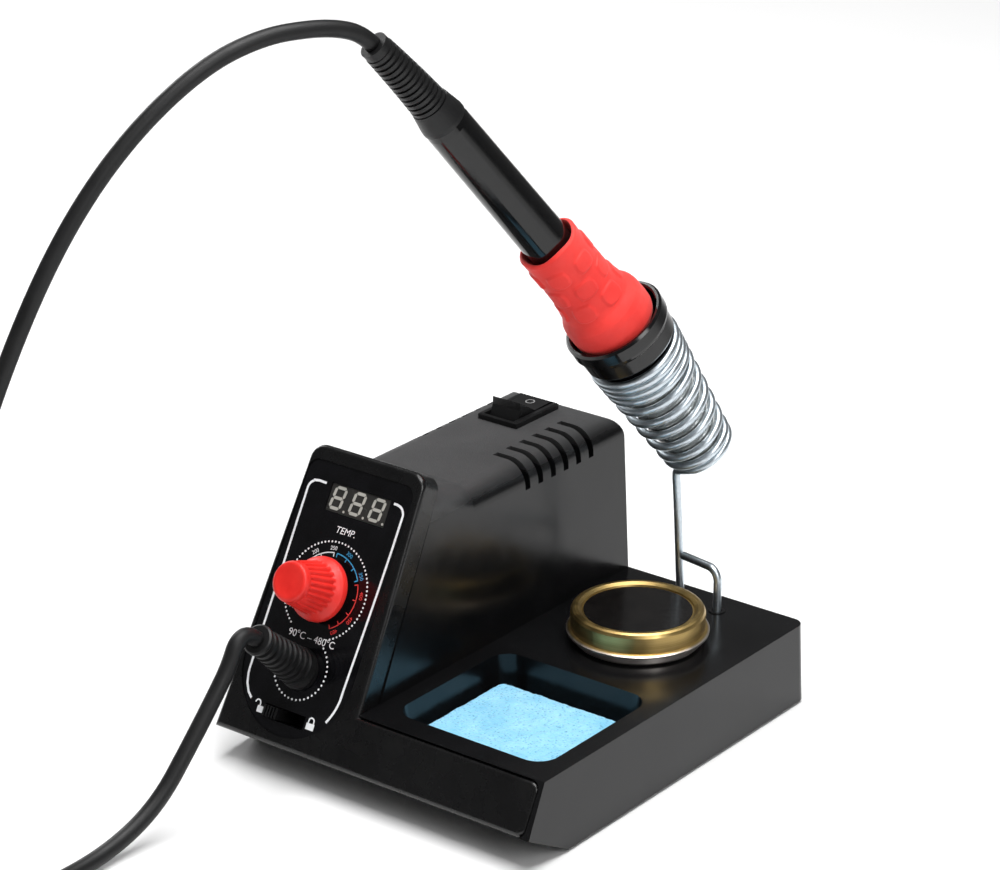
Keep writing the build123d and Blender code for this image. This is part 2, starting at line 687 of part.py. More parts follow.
def tip_barrel():
    """The slotted steel barrel round the bit and the heater."""
    barrel = turned([(2.65, 14.5), (4.2, 14.5), (5.2, 17.0), (5.2, 66.0), (4.6, 66.0), (4.6, 18.0), (2.65, 17.0)])
    for row in range(2):
        for i in range(4):
            hole = Pos(5.2, 0, 26.0 + row * 5.0) * Rot(0, 90, 0) * Cylinder(1.1, 5)
            barrel -= Rot(0, 0, 90 * i + 45 * row) * hole
    return IRON * barrel


def heater_core():
    """The ceramic heater inside the barrel."""
    return IRON * rod(2.3, 24.3, 72.0)


def barrel_nut():
    """The knurled ring that clamps the barrel."""
    ring = turned([(5.3, 49.0), (7.4, 49.0), (8.6, 50.5), (8.6, 57.2), (5.3, 57.2)])
    knurls = 18
    for i in range(knurls):
        ring -= Rot(0, 0, 360 / knurls * i) * (Pos(8.9, 0, 54.5) * Cylinder(0.55, 9))
    return IRON * ring


def grip_sleeve():
    """The bell-ended rubber finger grip."""
    outline = [
        (5.4, GRIP_START), (12.6, GRIP_START), (13.3, 58.2), (13.6, 59.6), (13.6, 66.4), (13.2, 68.2), (12.0, 70.2),
        (10.9, 72.0), (10.3, 74.5), (10.0, 80.0), (9.9, 90.0), (10.0, GRIP_END - 0.8), (9.5, GRIP_END),
        (7.55, GRIP_END), (7.55, HANDLE_START - 0.2), (5.4, HANDLE_START - 0.2),
    ]
    return IRON * turned(outline)


def handle_shell():
    """The smooth handle tube that the grip is pulled over."""
    floor = HANDLE_START + 6.0
    outline = [
        (2.5, HANDLE_START), (7.4, HANDLE_START), (7.4, GRIP_END), (7.45, GRIP_END + 2.0), (7.2, 128.0),
        (7.0, HANDLE_END - 2.0), (6.7, HANDLE_END), (5.1, HANDLE_END), (5.1, floor), (2.5, floor),
    ]
    return IRON * turned(outline)


def iron_boot():
    """The iron's bend relief: a smooth cone at the handle, then ribs, drooping a little towards the cord."""
    start_angle = degrees(atan2(AXIS[2], hypot(AXIS[0], AXIS[1])))
    ribs = 13
    cone_end = 7.4
    tip_cuff = 2.4
    pitch = (BOOT_LENGTH - cone_end - tip_cuff) / ribs
    solid = IRON * turned([
        (0, HANDLE_END - 8), (5.0, HANDLE_END - 8), (5.0, HANDLE_END), (7.1, HANDLE_END),
        (7.1, HANDLE_END + 1.2), (6.0, HANDLE_END + cone_end), (0, HANDLE_END + cone_end),
    ])
    for i in range(ribs):
        along = cone_end + (i + 0.5) * pitch
        r = 5.8 - 1.3 * (along - cone_end) / (BOOT_LENGTH - cone_end)
        place = iron_cord_place(start_angle, along)
        solid += place * rod(r - 0.7, -pitch * 0.6, pitch * 0.6)
        solid += place * rod(r, -pitch * 0.3, pitch * 0.3)
    solid += iron_cord_place(start_angle, BOOT_LENGTH) * rod(4.4, -tip_cuff - 0.3, 0)
    return solid


def iron_cord_place(start_angle, along):
    """A frame on the boot's bent centre line, along from the handle's end."""
    turn = along / BOOT_BEND_R
    a0 = radians(start_angle)
    lean = hypot(AXIS[0], AXIS[1])
    ux, uy = AXIS[0] / lean, AXIS[1] / lean
    run = BOOT_BEND_R * (sin(a0) - sin(a0 - turn))
    rise = BOOT_BEND_R * (cos(a0 - turn) - cos(a0))
    norm = hypot(lean, AXIS[2])
    end = [IRON_ORIGIN[i] + AXIS[i] / norm * HANDLE_END for i in range(3)]
    here = (end[0] + ux * run, end[1] + uy * run, end[2] + rise)
    heading = (ux * cos(a0 - turn), uy * cos(a0 - turn), sin(a0 - turn))
    return Plane(origin=here, x_dir=(-uy, ux, 0), z_dir=heading)


# ---- loose pieces on the deck -------------------------------------------------------------------------
def sponge():
    """The cleaning sponge in the tray."""
    x0, x1 = TRAY_X[0] + 3.6, TRAY_X[1] - 2.6
    y0, y1 = TRAY_Y[0] + 2.6, TRAY_Y[1] - 5.6
    pad = Pos((x0 + x1) / 2, (y0 + y1) / 2, TRAY_FLOOR_Z + REST_GAP) * RectangleRounded(x1 - x0, y1 - y0, 3.5)
    return extrude(pad, amount=SPONGE_T)


def tin_base():
    """The flux tin's shallow pan."""
    place = Pos(TIN_X, TIN_Y, 0)
    r = TIN_R - 0.7
    z = DECK_Z + REST_GAP
    return place * turned([
        (0, z), (r - 0.8, z), (r, z + 0.8), (r, z + 8.8), (r - 0.5, z + 8.8), (r - 0.5, z + 1.0),
        (r - 1.0, z + 0.5), (0, z + 0.5),
    ])


def flux_paste():
    """The flux in the tin."""
    return Pos(TIN_X, TIN_Y, 0) * rod(TIN_R - 1.5, DECK_Z + 1.1, DECK_Z + 5.5)


def tin_lid():
    """The slip lid: curled lower edge, raised ring round a recessed top."""
    place = Pos(TIN_X, TIN_Y, 0)
    r = TIN_R
    z0, z1 = DECK_Z + 3.0, TIN_TOP_Z
    lid = turned([
        (r - 0.35, z0), (r + 0.2, z0), (r + 1.3, z0 + 0.2), (r + 1.4, z0 + 0.9), (r + 0.7, z0 + 1.3),
        (r + 0.1, z0 + 1.5), (r + 0.1, z1 - 1.3), (r - 0.4, z1 - 0.4), (r - 1.2, z1), (r - 2.2, z1),
        (r - 3.2, z1 - 0.7), (r - 3.4, z1 - 1.2), (0, z1 - 1.2), (0, z1 - 1.7), (r - 3.7, z1 - 1.7),
        (r - 2.2, z1 - 0.5), (r - 1.4, z1 - 0.5), (r - 0.7, z1 - 1.0), (r - 0.35, z1 - 1.6),
    ])
    return place * lid


def tin_label():
    """The round paper label in the lid's recess."""
    return Pos(TIN_X, TIN_Y, 0) * rod(TIN_R - 3.9, TIN_TOP_Z - 1.2, TIN_TOP_Z - 1.0)


# ---- the iron's cord ------------------------------------------------------------------------------------
COIL_X, COIL_Y = -62.0, -230.0
COIL_MID_R = 27.5

PANEL_RUN = [
    (-35.0, -83.3, 49.05), (-35.0, -87.2, 52.6), (-35.1, -92.2, 51.2), (-35.3, -95.0, 45.0),
    (-35.6, -101.2, 37.6), (-36.3, -110.8, 26.6), (-37.6, -125.0, 10.8), (-39.6, -144.5, 2.9),
    (-40.4, -170.0, 2.6), (-34.8, -198.0, 2.6), (-32.4, -222.0, 2.6),
]
IRON_RUN = [
    (-24.71, -39.47, 219.63), (-26.0, -42.68, 223.24), (-28.7, -49.4, 225.9), (-32.1, -58.0, 227.1),
    (-37.3, -71.0, 226.9), (-43.6, -86.8, 221.9), (-50.7, -104.4, 209.3), (-57.0, -120.2, 192.5),
    (-59.67, -127.32, 181.87),
]
DROP_RUN = [
    (-59.73, -127.48, 181.63), (-62.4, -134.6, 171.0), (-67.4, -149.0, 142.0), (-71.6, -161.4, 110.0),
    (-74.6, -171.0, 78.0), (-77.2, -179.4, 47.0), (-80.8, -188.0, 22.0), (-86.4, -198.6, 7.4),
    (-91.6, -210.4, 2.7), (-92.6, -224.0, 2.6),
]


def cord_tube(name, points):
    """A cord's tube: straight runs joined by tangent arcs as large as the runs allow."""
    vectors = [Vector(*p) for p in points]
    runs = [b - a for a, b in zip(vectors, vectors[1:])]
    radii = []
    for before, after in zip(runs, runs[1:]):
        turn = radians(before.get_angle(after))
        radii.append(0.45 * min(before.length, after.length) / tan(turn / 2))
    path = FilletPolyline(*vectors, radius=radii)
    solid = sweep(Plane(origin=path @ 0, z_dir=path % 0) * Circle(CORD_R), path=path)
    ratio = solid.volume / (pi * CORD_R**2 * path.length)
    print(name, "length", round(path.length, 1), "volume ratio", round(ratio, 4))
    print("  radii", [round(r, 1) for r in radii])
    return solid


def cord_coil():
    """The put-away turns of the iron's cord, as one ring on the table."""
    return Pos(COIL_X, COIL_Y, 0) * tube(COIL_MID_R + 2 * CORD_R, COIL_MID_R - 2 * CORD_R, 0.0, 4 * CORD_R)


def main():
    """Build and write every sub-part."""
    os.makedirs("parts", exist_ok=True)
    makers = {
        "upper_shell": upper_shell,
        "front_cover": front_cover,
        "panel_label": panel_label,
        "bottom_cover": bottom_cover,
        "rubber_feet": rubber_feet,
        "case_screws": case_screws,
        "control_board": control_board,
        "board_posts": board_posts,
        "board_screws": board_screws,
        "display_module": display_module,
        "potentiometer": potentiometer,
        "pot_nut": pot_nut,
        "pot_shaft": pot_shaft,
        "temperature_knob": temperature_knob,
        "lock_switch": lock_switch,
        "lock_slider": lock_slider,
        "panel_cable_boot": cable_boot,
        "power_switch_housing": power_switch,
        "power_rocker": power_rocker,
        "mains_gland": mains_gland,
        "transformer_core": transformer_core,
        "transformer_winding": transformer_winding,
        "transformer_screws": transformer_screws,
        "power_board": power_board,
        "board_standoffs": board_standoffs,
        "filter_capacitor": filter_capacitor,
        "triac": triac,
        "heat_sink": heat_sink,
        "fuse": fuse,
        "holder_coil": holder_coil,
        "holder_leg": holder_leg,
        "holder_brace": holder_brace,
        "holder_sockets": holder_sockets,
        "holder_sleeve": holder_sleeve,
        "holder_collar": holder_collar,
        "iron_tip": iron_tip,
        "tip_barrel": tip_barrel,
        "heater_core": heater_core,
        "barrel_nut": barrel_nut,
        "grip_sleeve": grip_sleeve,
        "handle_shell": handle_shell,
        "iron_cord_boot": iron_boot,
        "sponge": sponge,
        "tin_base": tin_base,
        "flux_paste": flux_paste,
        "tin_lid": tin_lid,
        "tin_label": tin_label,
        "cord_coil": cord_coil,
    }
    for name, make in makers.items():
        save(name, make())
    save("cord_panel_run", cord_tube("cord_panel_run", PANEL_RUN))
    save("cord_iron_run", cord_tube("cord_iron_run", IRON_RUN))
    save("cord_drop_run", cord_tube("cord_drop_run", DROP_RUN))


main()
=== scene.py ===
"""The looks of the soldering station: pieces, materials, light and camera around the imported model."""

import math

import bmesh
import bpy
from mathutils import Matrix, Vector, noise


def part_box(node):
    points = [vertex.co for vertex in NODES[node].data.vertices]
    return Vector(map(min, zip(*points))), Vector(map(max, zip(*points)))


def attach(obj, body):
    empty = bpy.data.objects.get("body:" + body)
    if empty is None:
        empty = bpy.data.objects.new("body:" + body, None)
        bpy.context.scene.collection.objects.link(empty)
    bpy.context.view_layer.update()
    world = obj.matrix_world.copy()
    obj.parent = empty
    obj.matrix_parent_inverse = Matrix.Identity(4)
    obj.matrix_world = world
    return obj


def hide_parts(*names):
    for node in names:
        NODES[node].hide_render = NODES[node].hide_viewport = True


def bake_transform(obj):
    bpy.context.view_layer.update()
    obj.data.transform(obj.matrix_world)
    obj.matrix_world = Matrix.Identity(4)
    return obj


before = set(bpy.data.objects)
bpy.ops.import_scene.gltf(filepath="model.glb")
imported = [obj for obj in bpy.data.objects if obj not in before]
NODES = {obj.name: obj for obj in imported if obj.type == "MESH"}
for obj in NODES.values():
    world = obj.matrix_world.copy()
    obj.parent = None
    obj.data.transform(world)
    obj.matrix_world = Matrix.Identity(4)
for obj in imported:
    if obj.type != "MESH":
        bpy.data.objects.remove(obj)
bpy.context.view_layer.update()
MM = 0.001


# ---- camera ---------------------------------------------------------------------------------------
def place_camera():
    azimuth, elevation, roll = (math.radians(v) for v in (37.68, 22.21, 0.10))
    level = math.cos(elevation)
    back = Vector((math.sin(azimuth) * level, -math.cos(azimuth) * level, math.sin(elevation)))
    flat = Vector((math.cos(azimuth), math.sin(azimuth), 0))
    tall = back.cross(flat)
    right = flat * math.cos(roll) + tall * math.sin(roll)
    up = tall * math.cos(roll) - flat * math.sin(roll)
    data = bpy.data.cameras.new("camera")
    data.lens = 126.7
    data.sensor_width = 36
    data.clip_start = 0.05
    camera = bpy.data.objects.new("camera", data)
    bpy.context.scene.collection.objects.link(camera)
    turn = Matrix((right, up, back)).transposed().to_4x4()
    camera.matrix_world = Matrix.Translation((0.5863, -0.7722, 0.4910)) @ turn
    bpy.context.scene.camera = camera


place_camera()


# ---- materials ------------------------------------------------------------------------------------
class Paint:
    """A procedural material: colour, gloss and fine relief from noise in the object's own metres."""

    def __init__(self, name, rough, metal=0.0, specular=0.5, coat=0.0, coat_rough=0.05, sheen=0.0):
        self.material = bpy.data.materials.new(name)
        self.material.use_nodes = True
        self.tree = self.material.node_tree
        self.shader = self.tree.nodes["Principled BSDF"]
        self.shader.inputs["Roughness"].default_value = rough
        self.shader.inputs["Metallic"].default_value = metal
        self.shader.inputs["Specular IOR Level"].default_value = specular
        self.shader.inputs["Coat Weight"].default_value = coat
        self.shader.inputs["Coat Roughness"].default_value = coat_rough
        self.shader.inputs["Sheen Weight"].default_value = sheen
        self.where = self.tree.nodes.new("ShaderNodeTexCoord").outputs["Object"]
        self.height = None

    def node(self, kind, **values):
        made = self.tree.nodes.new(kind)
        for key, value in values.items():
            if hasattr(made, key):
                setattr(made, key, value)
            else:
                made.inputs[key.replace("_", " ")].default_value = value
        return made

    def link(self, out, into):
        self.tree.links.new(out, into)

    def stretch(self, scale, turn=(0, 0, 0)):
        mapping = self.node("ShaderNodeMapping", Scale=scale)
        mapping.inputs["Rotation"].default_value = turn
        self.link(self.where, mapping.inputs["Vector"])
        return mapping.outputs["Vector"]

    def noise(self, scale, detail=3.0, vector=None):
        made = self.node("ShaderNodeTexNoise", Scale=scale, Detail=detail)
        self.link(vector or self.where, made.inputs["Vector"])
        return made.outputs["Fac"]

    def cells(self, scale, vector=None):
        made = self.node("ShaderNodeTexVoronoi", Scale=scale)
        self.link(vector or self.where, made.inputs["Vector"])
        return made.outputs["Distance"]

    def span(self, value, low, high, start=0.3, end=0.7):
        made = self.node("ShaderNodeMapRange")
        made.inputs["From Min"].default_value = start
        made.inputs["From Max"].default_value = end
        made.inputs["To Min"].default_value = low
        made.inputs["To Max"].default_value = high
        self.link(value, made.inputs["Value"])
        return made.outputs["Result"]

    def mix(self, fac, dark, light):
        made = self.node("ShaderNodeMix", data_type="RGBA")
        self.link(fac, made.inputs["Factor"])
        for place, colour in ((6, dark), (7, light)):
            if isinstance(colour, tuple):
                made.inputs[place].default_value = (*colour, 1)
            else:
                self.link(colour, made.inputs[place])
        return made.outputs[2]

    def colour(self, fac, dark, light):
        out = self.mix(fac, dark, light)
        self.link(out, self.shader.inputs["Base Color"])
        return out

    def rough(self, fac, low, high):
        self.link(self.span(fac, low, high), self.shader.inputs["Roughness"])

    def relief(self, value, depth, strength=1.0):
        made = self.node("ShaderNodeBump", Strength=strength, Distance=depth)
        self.link(value, made.inputs["Height"])
        if self.height is not None:
            self.link(self.height, made.inputs["Normal"])
        self.height = made.outputs["Normal"]
        self.link(self.height, self.shader.inputs["Normal"])


def moulded_black(name, rough, grain, shade=0.010, specular=0.42):
    p = Paint(name, rough, specular=specular)
    cloud = p.noise(38, 4)
    dark = (shade * 0.8, shade * 0.8, shade * 0.86)
    light = (shade * 1.3, shade * 1.3, shade * 1.36)
    p.colour(p.span(cloud, 0, 1), dark, light)
    fine = p.noise(2600, 2)
    p.rough(p.noise(160, 5), rough - 0.05, rough + 0.07)
    p.relief(fine, grain)
    return p


def shell_paint():
    """Black ABS: glossy low down, satin with a fine spark texture on the roof. The roof's colour is also
    painted lighter, a painted sheen of the lit top.
    """
    p = Paint("shell_black", 0.3, specular=0.34)
    cloud = p.noise(30, 4)
    low = p.mix(p.span(cloud, 0, 1), (0.0030, 0.0030, 0.0033), (0.0060, 0.0061, 0.0066))
    # painted sheen: the roof's colour is lighter than the walls' black to stand for the light on the satin
    # top
    roof_painted_sheen = p.mix(p.span(cloud, 0, 1), (0.042, 0.042, 0.043), (0.056, 0.056, 0.057))
    roof = p.node("ShaderNodeSeparateXYZ")
    p.link(p.where, roof.inputs[0])
    high = p.span(roof.outputs["Z"], 0, 1, 0.0738, 0.0776)
    p.link(p.mix(high, low, roof_painted_sheen), p.shader.inputs["Base Color"])
    wide = p.span(p.noise(90, 5), 0.17, 0.25)
    satin = p.span(p.noise(420, 4), 0.46, 0.56)
    gloss = p.node("ShaderNodeMix", data_type="FLOAT")
    p.link(high, gloss.inputs["Factor"])
    p.link(wide, gloss.inputs[2])
    p.link(satin, gloss.inputs[3])
    p.link(gloss.outputs[0], p.shader.inputs["Roughness"])
    fine = p.node("ShaderNodeMath", operation="MULTIPLY")
    p.link(p.noise(2300, 2), fine.inputs[0])
    p.link(p.span(high, 0.12, 1.0, 0, 1), fine.inputs[1])
    p.relief(fine.outputs[0], 0.00009)
    p.relief(p.noise(26, 2), 0.00025)
    return p


def bright_metal(name, tint, rough, brushed=None, relief=0.00001, waves=30):
    p = Paint(name, rough, metal=1.0)
    vector = p.stretch(brushed) if brushed else None
    streak = p.noise(900, 5, vector)
    dark = tuple(c * 0.82 for c in tint)
    p.colour(p.span(streak, 0, 1), dark, tint)
    p.rough(p.noise(waves * 9, 4), max(0.03, rough - 0.05), rough + 0.08)
    p.relief(streak, relief)
    return p


def round_brushed(name, dark, light, rough, centre):
    """Lacquered tinplate with turned streaks round the tin's axis."""
    p = Paint(name, rough, metal=1.0)
    shift = p.node("ShaderNodeMapping")
    shift.inputs["Location"].default_value = (-centre.x, -centre.y, 0)
    p.link(p.where, shift.inputs["Vector"])
    parts = p.node("ShaderNodeSeparateXYZ")
    p.link(shift.outputs["Vector"], parts.inputs[0])
    flat = p.node("ShaderNodeCombineXYZ")
    p.link(parts.outputs["X"], flat.inputs["X"])
    p.link(parts.outputs["Y"], flat.inputs["Y"])
    radius = p.node("ShaderNodeVectorMath", operation="LENGTH")
    p.link(flat.outputs[0], radius.inputs[0])
    ring = p.node("ShaderNodeCombineXYZ")
    p.link(radius.outputs["Value"], ring.inputs["X"])
    p.link(parts.outputs["Z"], ring.inputs["Z"])
    streak = p.noise(2600, 3, ring.outputs[0])
    broad = p.noise(240, 3)
    body = p.mix(p.span(streak, 0, 1), dark, light)
    seam = p.span(parts.outputs["Z"], 1, 0, tin_low[2] + 0.0009, tin_low[2] + 0.0013)
    p.link(p.mix(seam, body, (0.80, 0.74, 0.70)), p.shader.inputs["Base Color"])
    p.rough(broad, rough - 0.06, rough + 0.08)
    p.relief(streak, 0.000014)
    return p


def red_plastic():
    p = Paint("knob_red", 0.42, specular=0.4)
    p.shader.inputs["Subsurface Weight"].default_value = 0.05
    p.shader.inputs["Subsurface Radius"].default_value = (0.002, 0.0006, 0.0004)
    p.colour(p.span(p.noise(150, 4), 0, 1), (0.68, 0.016, 0.012), (0.80, 0.028, 0.020))
    p.rough(p.noise(600, 3), 0.34, 0.5)
    p.relief(p.noise(2100, 2), 0.00004)
    return p


def red_rubber():
    p = Paint("grip_red", 0.6, specular=0.3, sheen=0.12)
    p.shader.inputs["Subsurface Weight"].default_value = 0.06
    p.shader.inputs["Subsurface Radius"].default_value = (0.003, 0.0008, 0.0005)
    p.colour(p.span(p.noise(90, 5), 0, 1), (0.76, 0.030, 0.024), (0.88, 0.048, 0.038))
    p.rough(p.noise(500, 4), 0.5, 0.72)
    p.relief(p.noise(2400, 3), 0.00006)
    return p


def sponge_paint():
    p = Paint("sponge_blue", 0.95, specular=0.1, sheen=0.3)
    pores = p.cells(900)
    big = p.cells(260)
    body = p.mix(p.span(p.noise(130, 5), 0, 1), (0.215, 0.56, 0.80), (0.34, 0.70, 0.93))
    # painted shade: the pores are painted darker blue for the shade inside the holes, first the small pores,
    # then the big ones
    fine_pore_shade = p.mix(p.span(pores, 0, 1, 0.05, 0.34), (0.10, 0.33, 0.50), body)
    big_pore_shade = p.mix(p.span(big, 0, 1, 0.03, 0.13), (0.085, 0.30, 0.47), fine_pore_shade)
    p.link(big_pore_shade, p.shader.inputs["Base Color"])
    p.relief(p.noise(1500, 5), 0.0005)
    p.relief(pores, 0.0003)
    return p


def plain(name, dark, light, rough, relief=0.00003, scale=700, **kind):
    p = Paint(name, rough, **kind)
    p.colour(p.span(p.noise(scale * 0.25, 4), 0, 1), dark, light)
    p.rough(p.noise(scale, 3), max(0.02, rough - 0.05), rough + 0.06)
    p.relief(p.noise(scale * 3, 2), relief)
    return p


tin_low, tin_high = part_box("tin_lid")
TIN_AXIS = (Vector(tin_low) + Vector(tin_high)) / 2

paints = {
    "shell": shell_paint(),
    "cover": moulded_black("cover_black", 0.26, 0.00001, 0.004, 0.42),
    "panel": plain(
        "panel_overlay", (0.002, 0.002, 0.0024), (0.004, 0.004, 0.005), 0.12, 0.000006, specular=0.35,
    ),
    "nylon": moulded_black("nylon_black", 0.36, 0.00003, 0.006, 0.36),
    "rubber": moulded_black("cord_rubber", 0.46, 0.00006, 0.006, 0.34),
    "boot": moulded_black("boot_rubber", 0.4, 0.00005, 0.0055, 0.36),
    "foot": moulded_black("foot_rubber", 0.7, 0.00006, 0.02, 0.3),
    "gloss": moulded_black("handle_gloss", 0.12, 0.000004, 0.003, 0.45),
    "collar": moulded_black("collar_resin", 0.12, 0.000006, 0.003, 0.5),
    "wire": bright_metal("nickel_wire", (0.64, 0.71, 0.76), 0.33, relief=0.00001),
    "sleeve": bright_metal("bright_sleeve", (0.95, 0.93, 0.90), 0.22, waves=12, relief=0.00003),
    "barrel": bright_metal("stainless_barrel", (0.62, 0.60, 0.56), 0.24),
    "tip": bright_metal("plated_tip", (0.60, 0.60, 0.61), 0.22),
    "zinc": bright_metal("zinc_plate", (0.66, 0.66, 0.63), 0.3),
    "aluminium": bright_metal("drawn_aluminium", (0.75, 0.75, 0.76), 0.32, brushed=(1, 1, 0.05)),
    "gold": round_brushed("gold_lacquer", (0.42, 0.29, 0.10), (0.56, 0.40, 0.16), 0.36, TIN_AXIS),
    "tin_disc": plain(
        "tin_disc_black", (0.004, 0.0035, 0.0035), (0.008, 0.007, 0.0065), 0.16, 0.00001, specular=0.4,
    ),
    "flux": plain("flux_amber", (0.42, 0.20, 0.05), (0.58, 0.30, 0.09), 0.25, 0.0002, 120),
    "knob": red_plastic(),
    "grip": red_rubber(),
    "sponge": sponge_paint(),
    "board": plain("solder_mask", (0.012, 0.10, 0.035), (0.02, 0.15, 0.055), 0.3),
    "display": plain(
        "display_face", (0.022, 0.022, 0.021), (0.032, 0.031, 0.029), 0.22, 0.000006, specular=0.35,
    ),
    "digits": plain("display_segments", (0.34, 0.34, 0.31), (0.44, 0.43, 0.39), 0.4, 0.00001),
    "ink": plain("white_print", (0.74, 0.75, 0.77), (0.86, 0.87, 0.88), 0.32, 0.00001),
    "mark": plain("grey_mark", (0.20, 0.20, 0.20), (0.28, 0.28, 0.28), 0.4, 0.00001),
    "ink_blue": plain("blue_print", (0.03, 0.26, 0.52), (0.06, 0.36, 0.62), 0.32, 0.00001),
    "ink_red": plain("red_print", (0.66, 0.03, 0.03), (0.80, 0.06, 0.05), 0.32, 0.00001),
    "core": plain("varnished_core", (0.05, 0.05, 0.055), (0.09, 0.09, 0.095), 0.4),
    "winding": plain("winding_tape", (0.55, 0.36, 0.06), (0.70, 0.50, 0.12), 0.4, 0.00005, 400),
    "can": plain("capacitor_sleeve", (0.01, 0.014, 0.04), (0.02, 0.026, 0.07), 0.25),
    "fuse": plain("fuse_glass", (0.55, 0.60, 0.60), (0.70, 0.74, 0.74), 0.06),
    "ceramic": plain("alumina", (0.66, 0.64, 0.58), (0.80, 0.78, 0.72), 0.5),
}

NODE_PAINT = {
    "upper_shell": "shell", "front_cover": "cover", "panel_label": "panel", "bottom_cover": "nylon",
    "rubber_feet": "foot", "case_screws": "zinc", "control_board": "board", "board_posts": "zinc",
    "board_screws": "zinc", "display_module": "display", "potentiometer": "zinc", "pot_nut": "zinc",
    "pot_shaft": "aluminium", "temperature_knob": "knob", "lock_switch": "nylon", "lock_slider": "nylon",
    "panel_cable_boot": "boot", "power_switch_housing": "nylon", "power_rocker": "nylon",
    "mains_gland": "boot", "transformer_core": "core", "transformer_winding": "winding",
    "transformer_screws": "zinc", "power_board": "board", "board_standoffs": "nylon",
    "filter_capacitor": "can", "triac": "nylon", "heat_sink": "aluminium", "fuse": "fuse",
    "holder_coil": "wire", "holder_leg": "wire", "holder_brace": "wire", "holder_sockets": "nylon",
    "holder_sleeve": "sleeve", "holder_collar": "collar", "iron_tip": "tip", "tip_barrel": "barrel",
    "heater_core": "ceramic", "barrel_nut": "barrel", "grip_sleeve": "grip", "handle_shell": "gloss",
    "iron_cord_boot": "boot", "sponge": "sponge", "tin_base": "gold", "flux_paste": "flux",
    "tin_lid": "gold", "tin_label": "tin_disc", "cord_coil": "rubber", "cord_panel_run": "rubber",
    "cord_iron_run": "rubber", "cord_drop_run": "rubber",
}
for name, node in NODES.items():
    node.data.materials.clear()
    node.data.materials.append(paints[NODE_PAINT[name]].material)


# ---- mesh helpers ---------------------------------------------------------------------------------
def piece(name, verts, faces, paint, body, smooth=False):
    data = bpy.data.meshes.new(name)
    data.from_pydata([tuple(v) for v in verts], [], faces)
    data.update()
    made = bpy.data.objects.new(name, data)
    bpy.context.scene.collection.objects.link(made)
    finish_piece(made, paint, body, smooth)
    return made


def finish_piece(made, paint, body, smooth=False):
    made.data.materials.clear()
    made.data.materials.append(paints[paint].material)
    if smooth:
        for face in made.data.polygons:
            face.use_smooth = True
    if body:
        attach(made, body)


def curve_points(route, degree_points=8):
    """Points read from the smooth spline through a route of control points."""
    data = bpy.data.curves.new("route", "CURVE")
    data.dimensions = "3D"
    data.resolution_u = degree_points
    spline = data.splines.new("NURBS")
    spline.points.add(len(route) - 1)
    for point, place in zip(spline.points, route):
        point.co = (*place, 1)
    spline.order_u = 3
    spline.use_endpoint_u = True
    holder = bpy.data.objects.new("route", data)
    bpy.context.scene.collection.objects.link(holder)
    bpy.context.view_layer.update()
    mesh = bpy.data.meshes.new_from_object(holder)
    points = [v.co.copy() for v in mesh.vertices]
    bpy.data.meshes.remove(mesh)
    bpy.data.objects.remove(holder)
    return points


def tube_mesh(points, radius, sides):
    """Verts and faces of a round tube along points, with a frame carried along without twist."""
    tangents = []
    for i in range(len(points)):
        ahead = points[min(i + 1, len(points) - 1)]
        behind = points[max(i - 1, 0)]
        tangents.append((ahead - behind).normalized())
    side = tangents[0].orthogonal().normalized()
    verts, faces = [], []
    for i, here in enumerate(points):
        side = (side - tangents[i] * side.dot(tangents[i])).normalized()
        other = tangents[i].cross(side)
        for j in range(sides):
            a = 2 * math.pi * j / sides
            verts.append(here + (side * math.cos(a) + other * math.sin(a)) * radius)
    for i in range(len(points) - 1):
        for j in range(sides):
            k = (j + 1) % sides
            faces.append((i * sides + j, i * sides + k, (i + 1) * sides + k, (i + 1) * sides + j))
    faces.append(tuple(range(sides))[::-1])
    faces.append(tuple((len(points) - 1) * sides + j for j in range(sides)))
    return verts, faces


# ---- the iron's cord ------------------------------------------------------------------------------
def step(value, start, end):
    t = min(1.0, max(0.0, (value - start) / (end - start)))
    return t * t * (3 - 2 * t)


def wound_cord(centre_x, centre_y, turns, per_turn):
    """Put-away turns: outer and inner turn on the table, then inner and outer turn on top of them."""
    points = []
    for i in range(1, round(turns * per_turn)):
        u = i / per_turn
        radius = 30.4 - 5.1 * step(u, 0.72, 1.0) + 5.1 * step(u, 2.28, 2.55)
        height = 2.6 + 5.1 * step(u, 1.42, 1.7) + 5.1 * step(u, 3.1, 3.36)
        a = -2 * math.pi * u
        wide = radius / 0.975
        points.append((centre_x + wide * math.cos(a), centre_y + wide * math.sin(a), height))
    return points


PANEL_ROUTE = [
    (-35.0, -83.3, 49.05), (-35.0, -87.2, 52.6), (-35.1, -92.2, 51.2), (-35.3, -95.0, 45.0),
    (-35.6, -101.2, 37.6), (-36.3, -110.8, 26.6), (-37.6, -125.0, 10.8), (-39.6, -144.5, 2.9),
    (-40.4, -170.0, 2.6), (-34.8, -198.0, 2.6), (-31.4, -222.0, 2.6),
]
IRON_ROUTE = [
    (-93.0, -221.0, 12.8), (-91.0, -209.0, 13.2), (-86.6, -198.4, 16.0), (-81.2, -188.4, 26.0),
    (-77.2, -179.4, 47.0), (-74.6, -171.0, 78.0), (-71.6, -161.4, 110.0), (-67.4, -149.0, 142.0),
    (-62.4, -134.6, 171.0), (-57.0, -120.2, 192.5), (-50.7, -104.4, 209.3), (-43.6, -86.8, 221.9),
    (-37.3, -71.0, 226.9), (-32.1, -58.0, 227.1), (-28.7, -49.4, 225.9), (-26.0, -42.68, 223.24),
    (-24.71, -39.47, 219.63),
]
CORD_RADIUS = 2.5


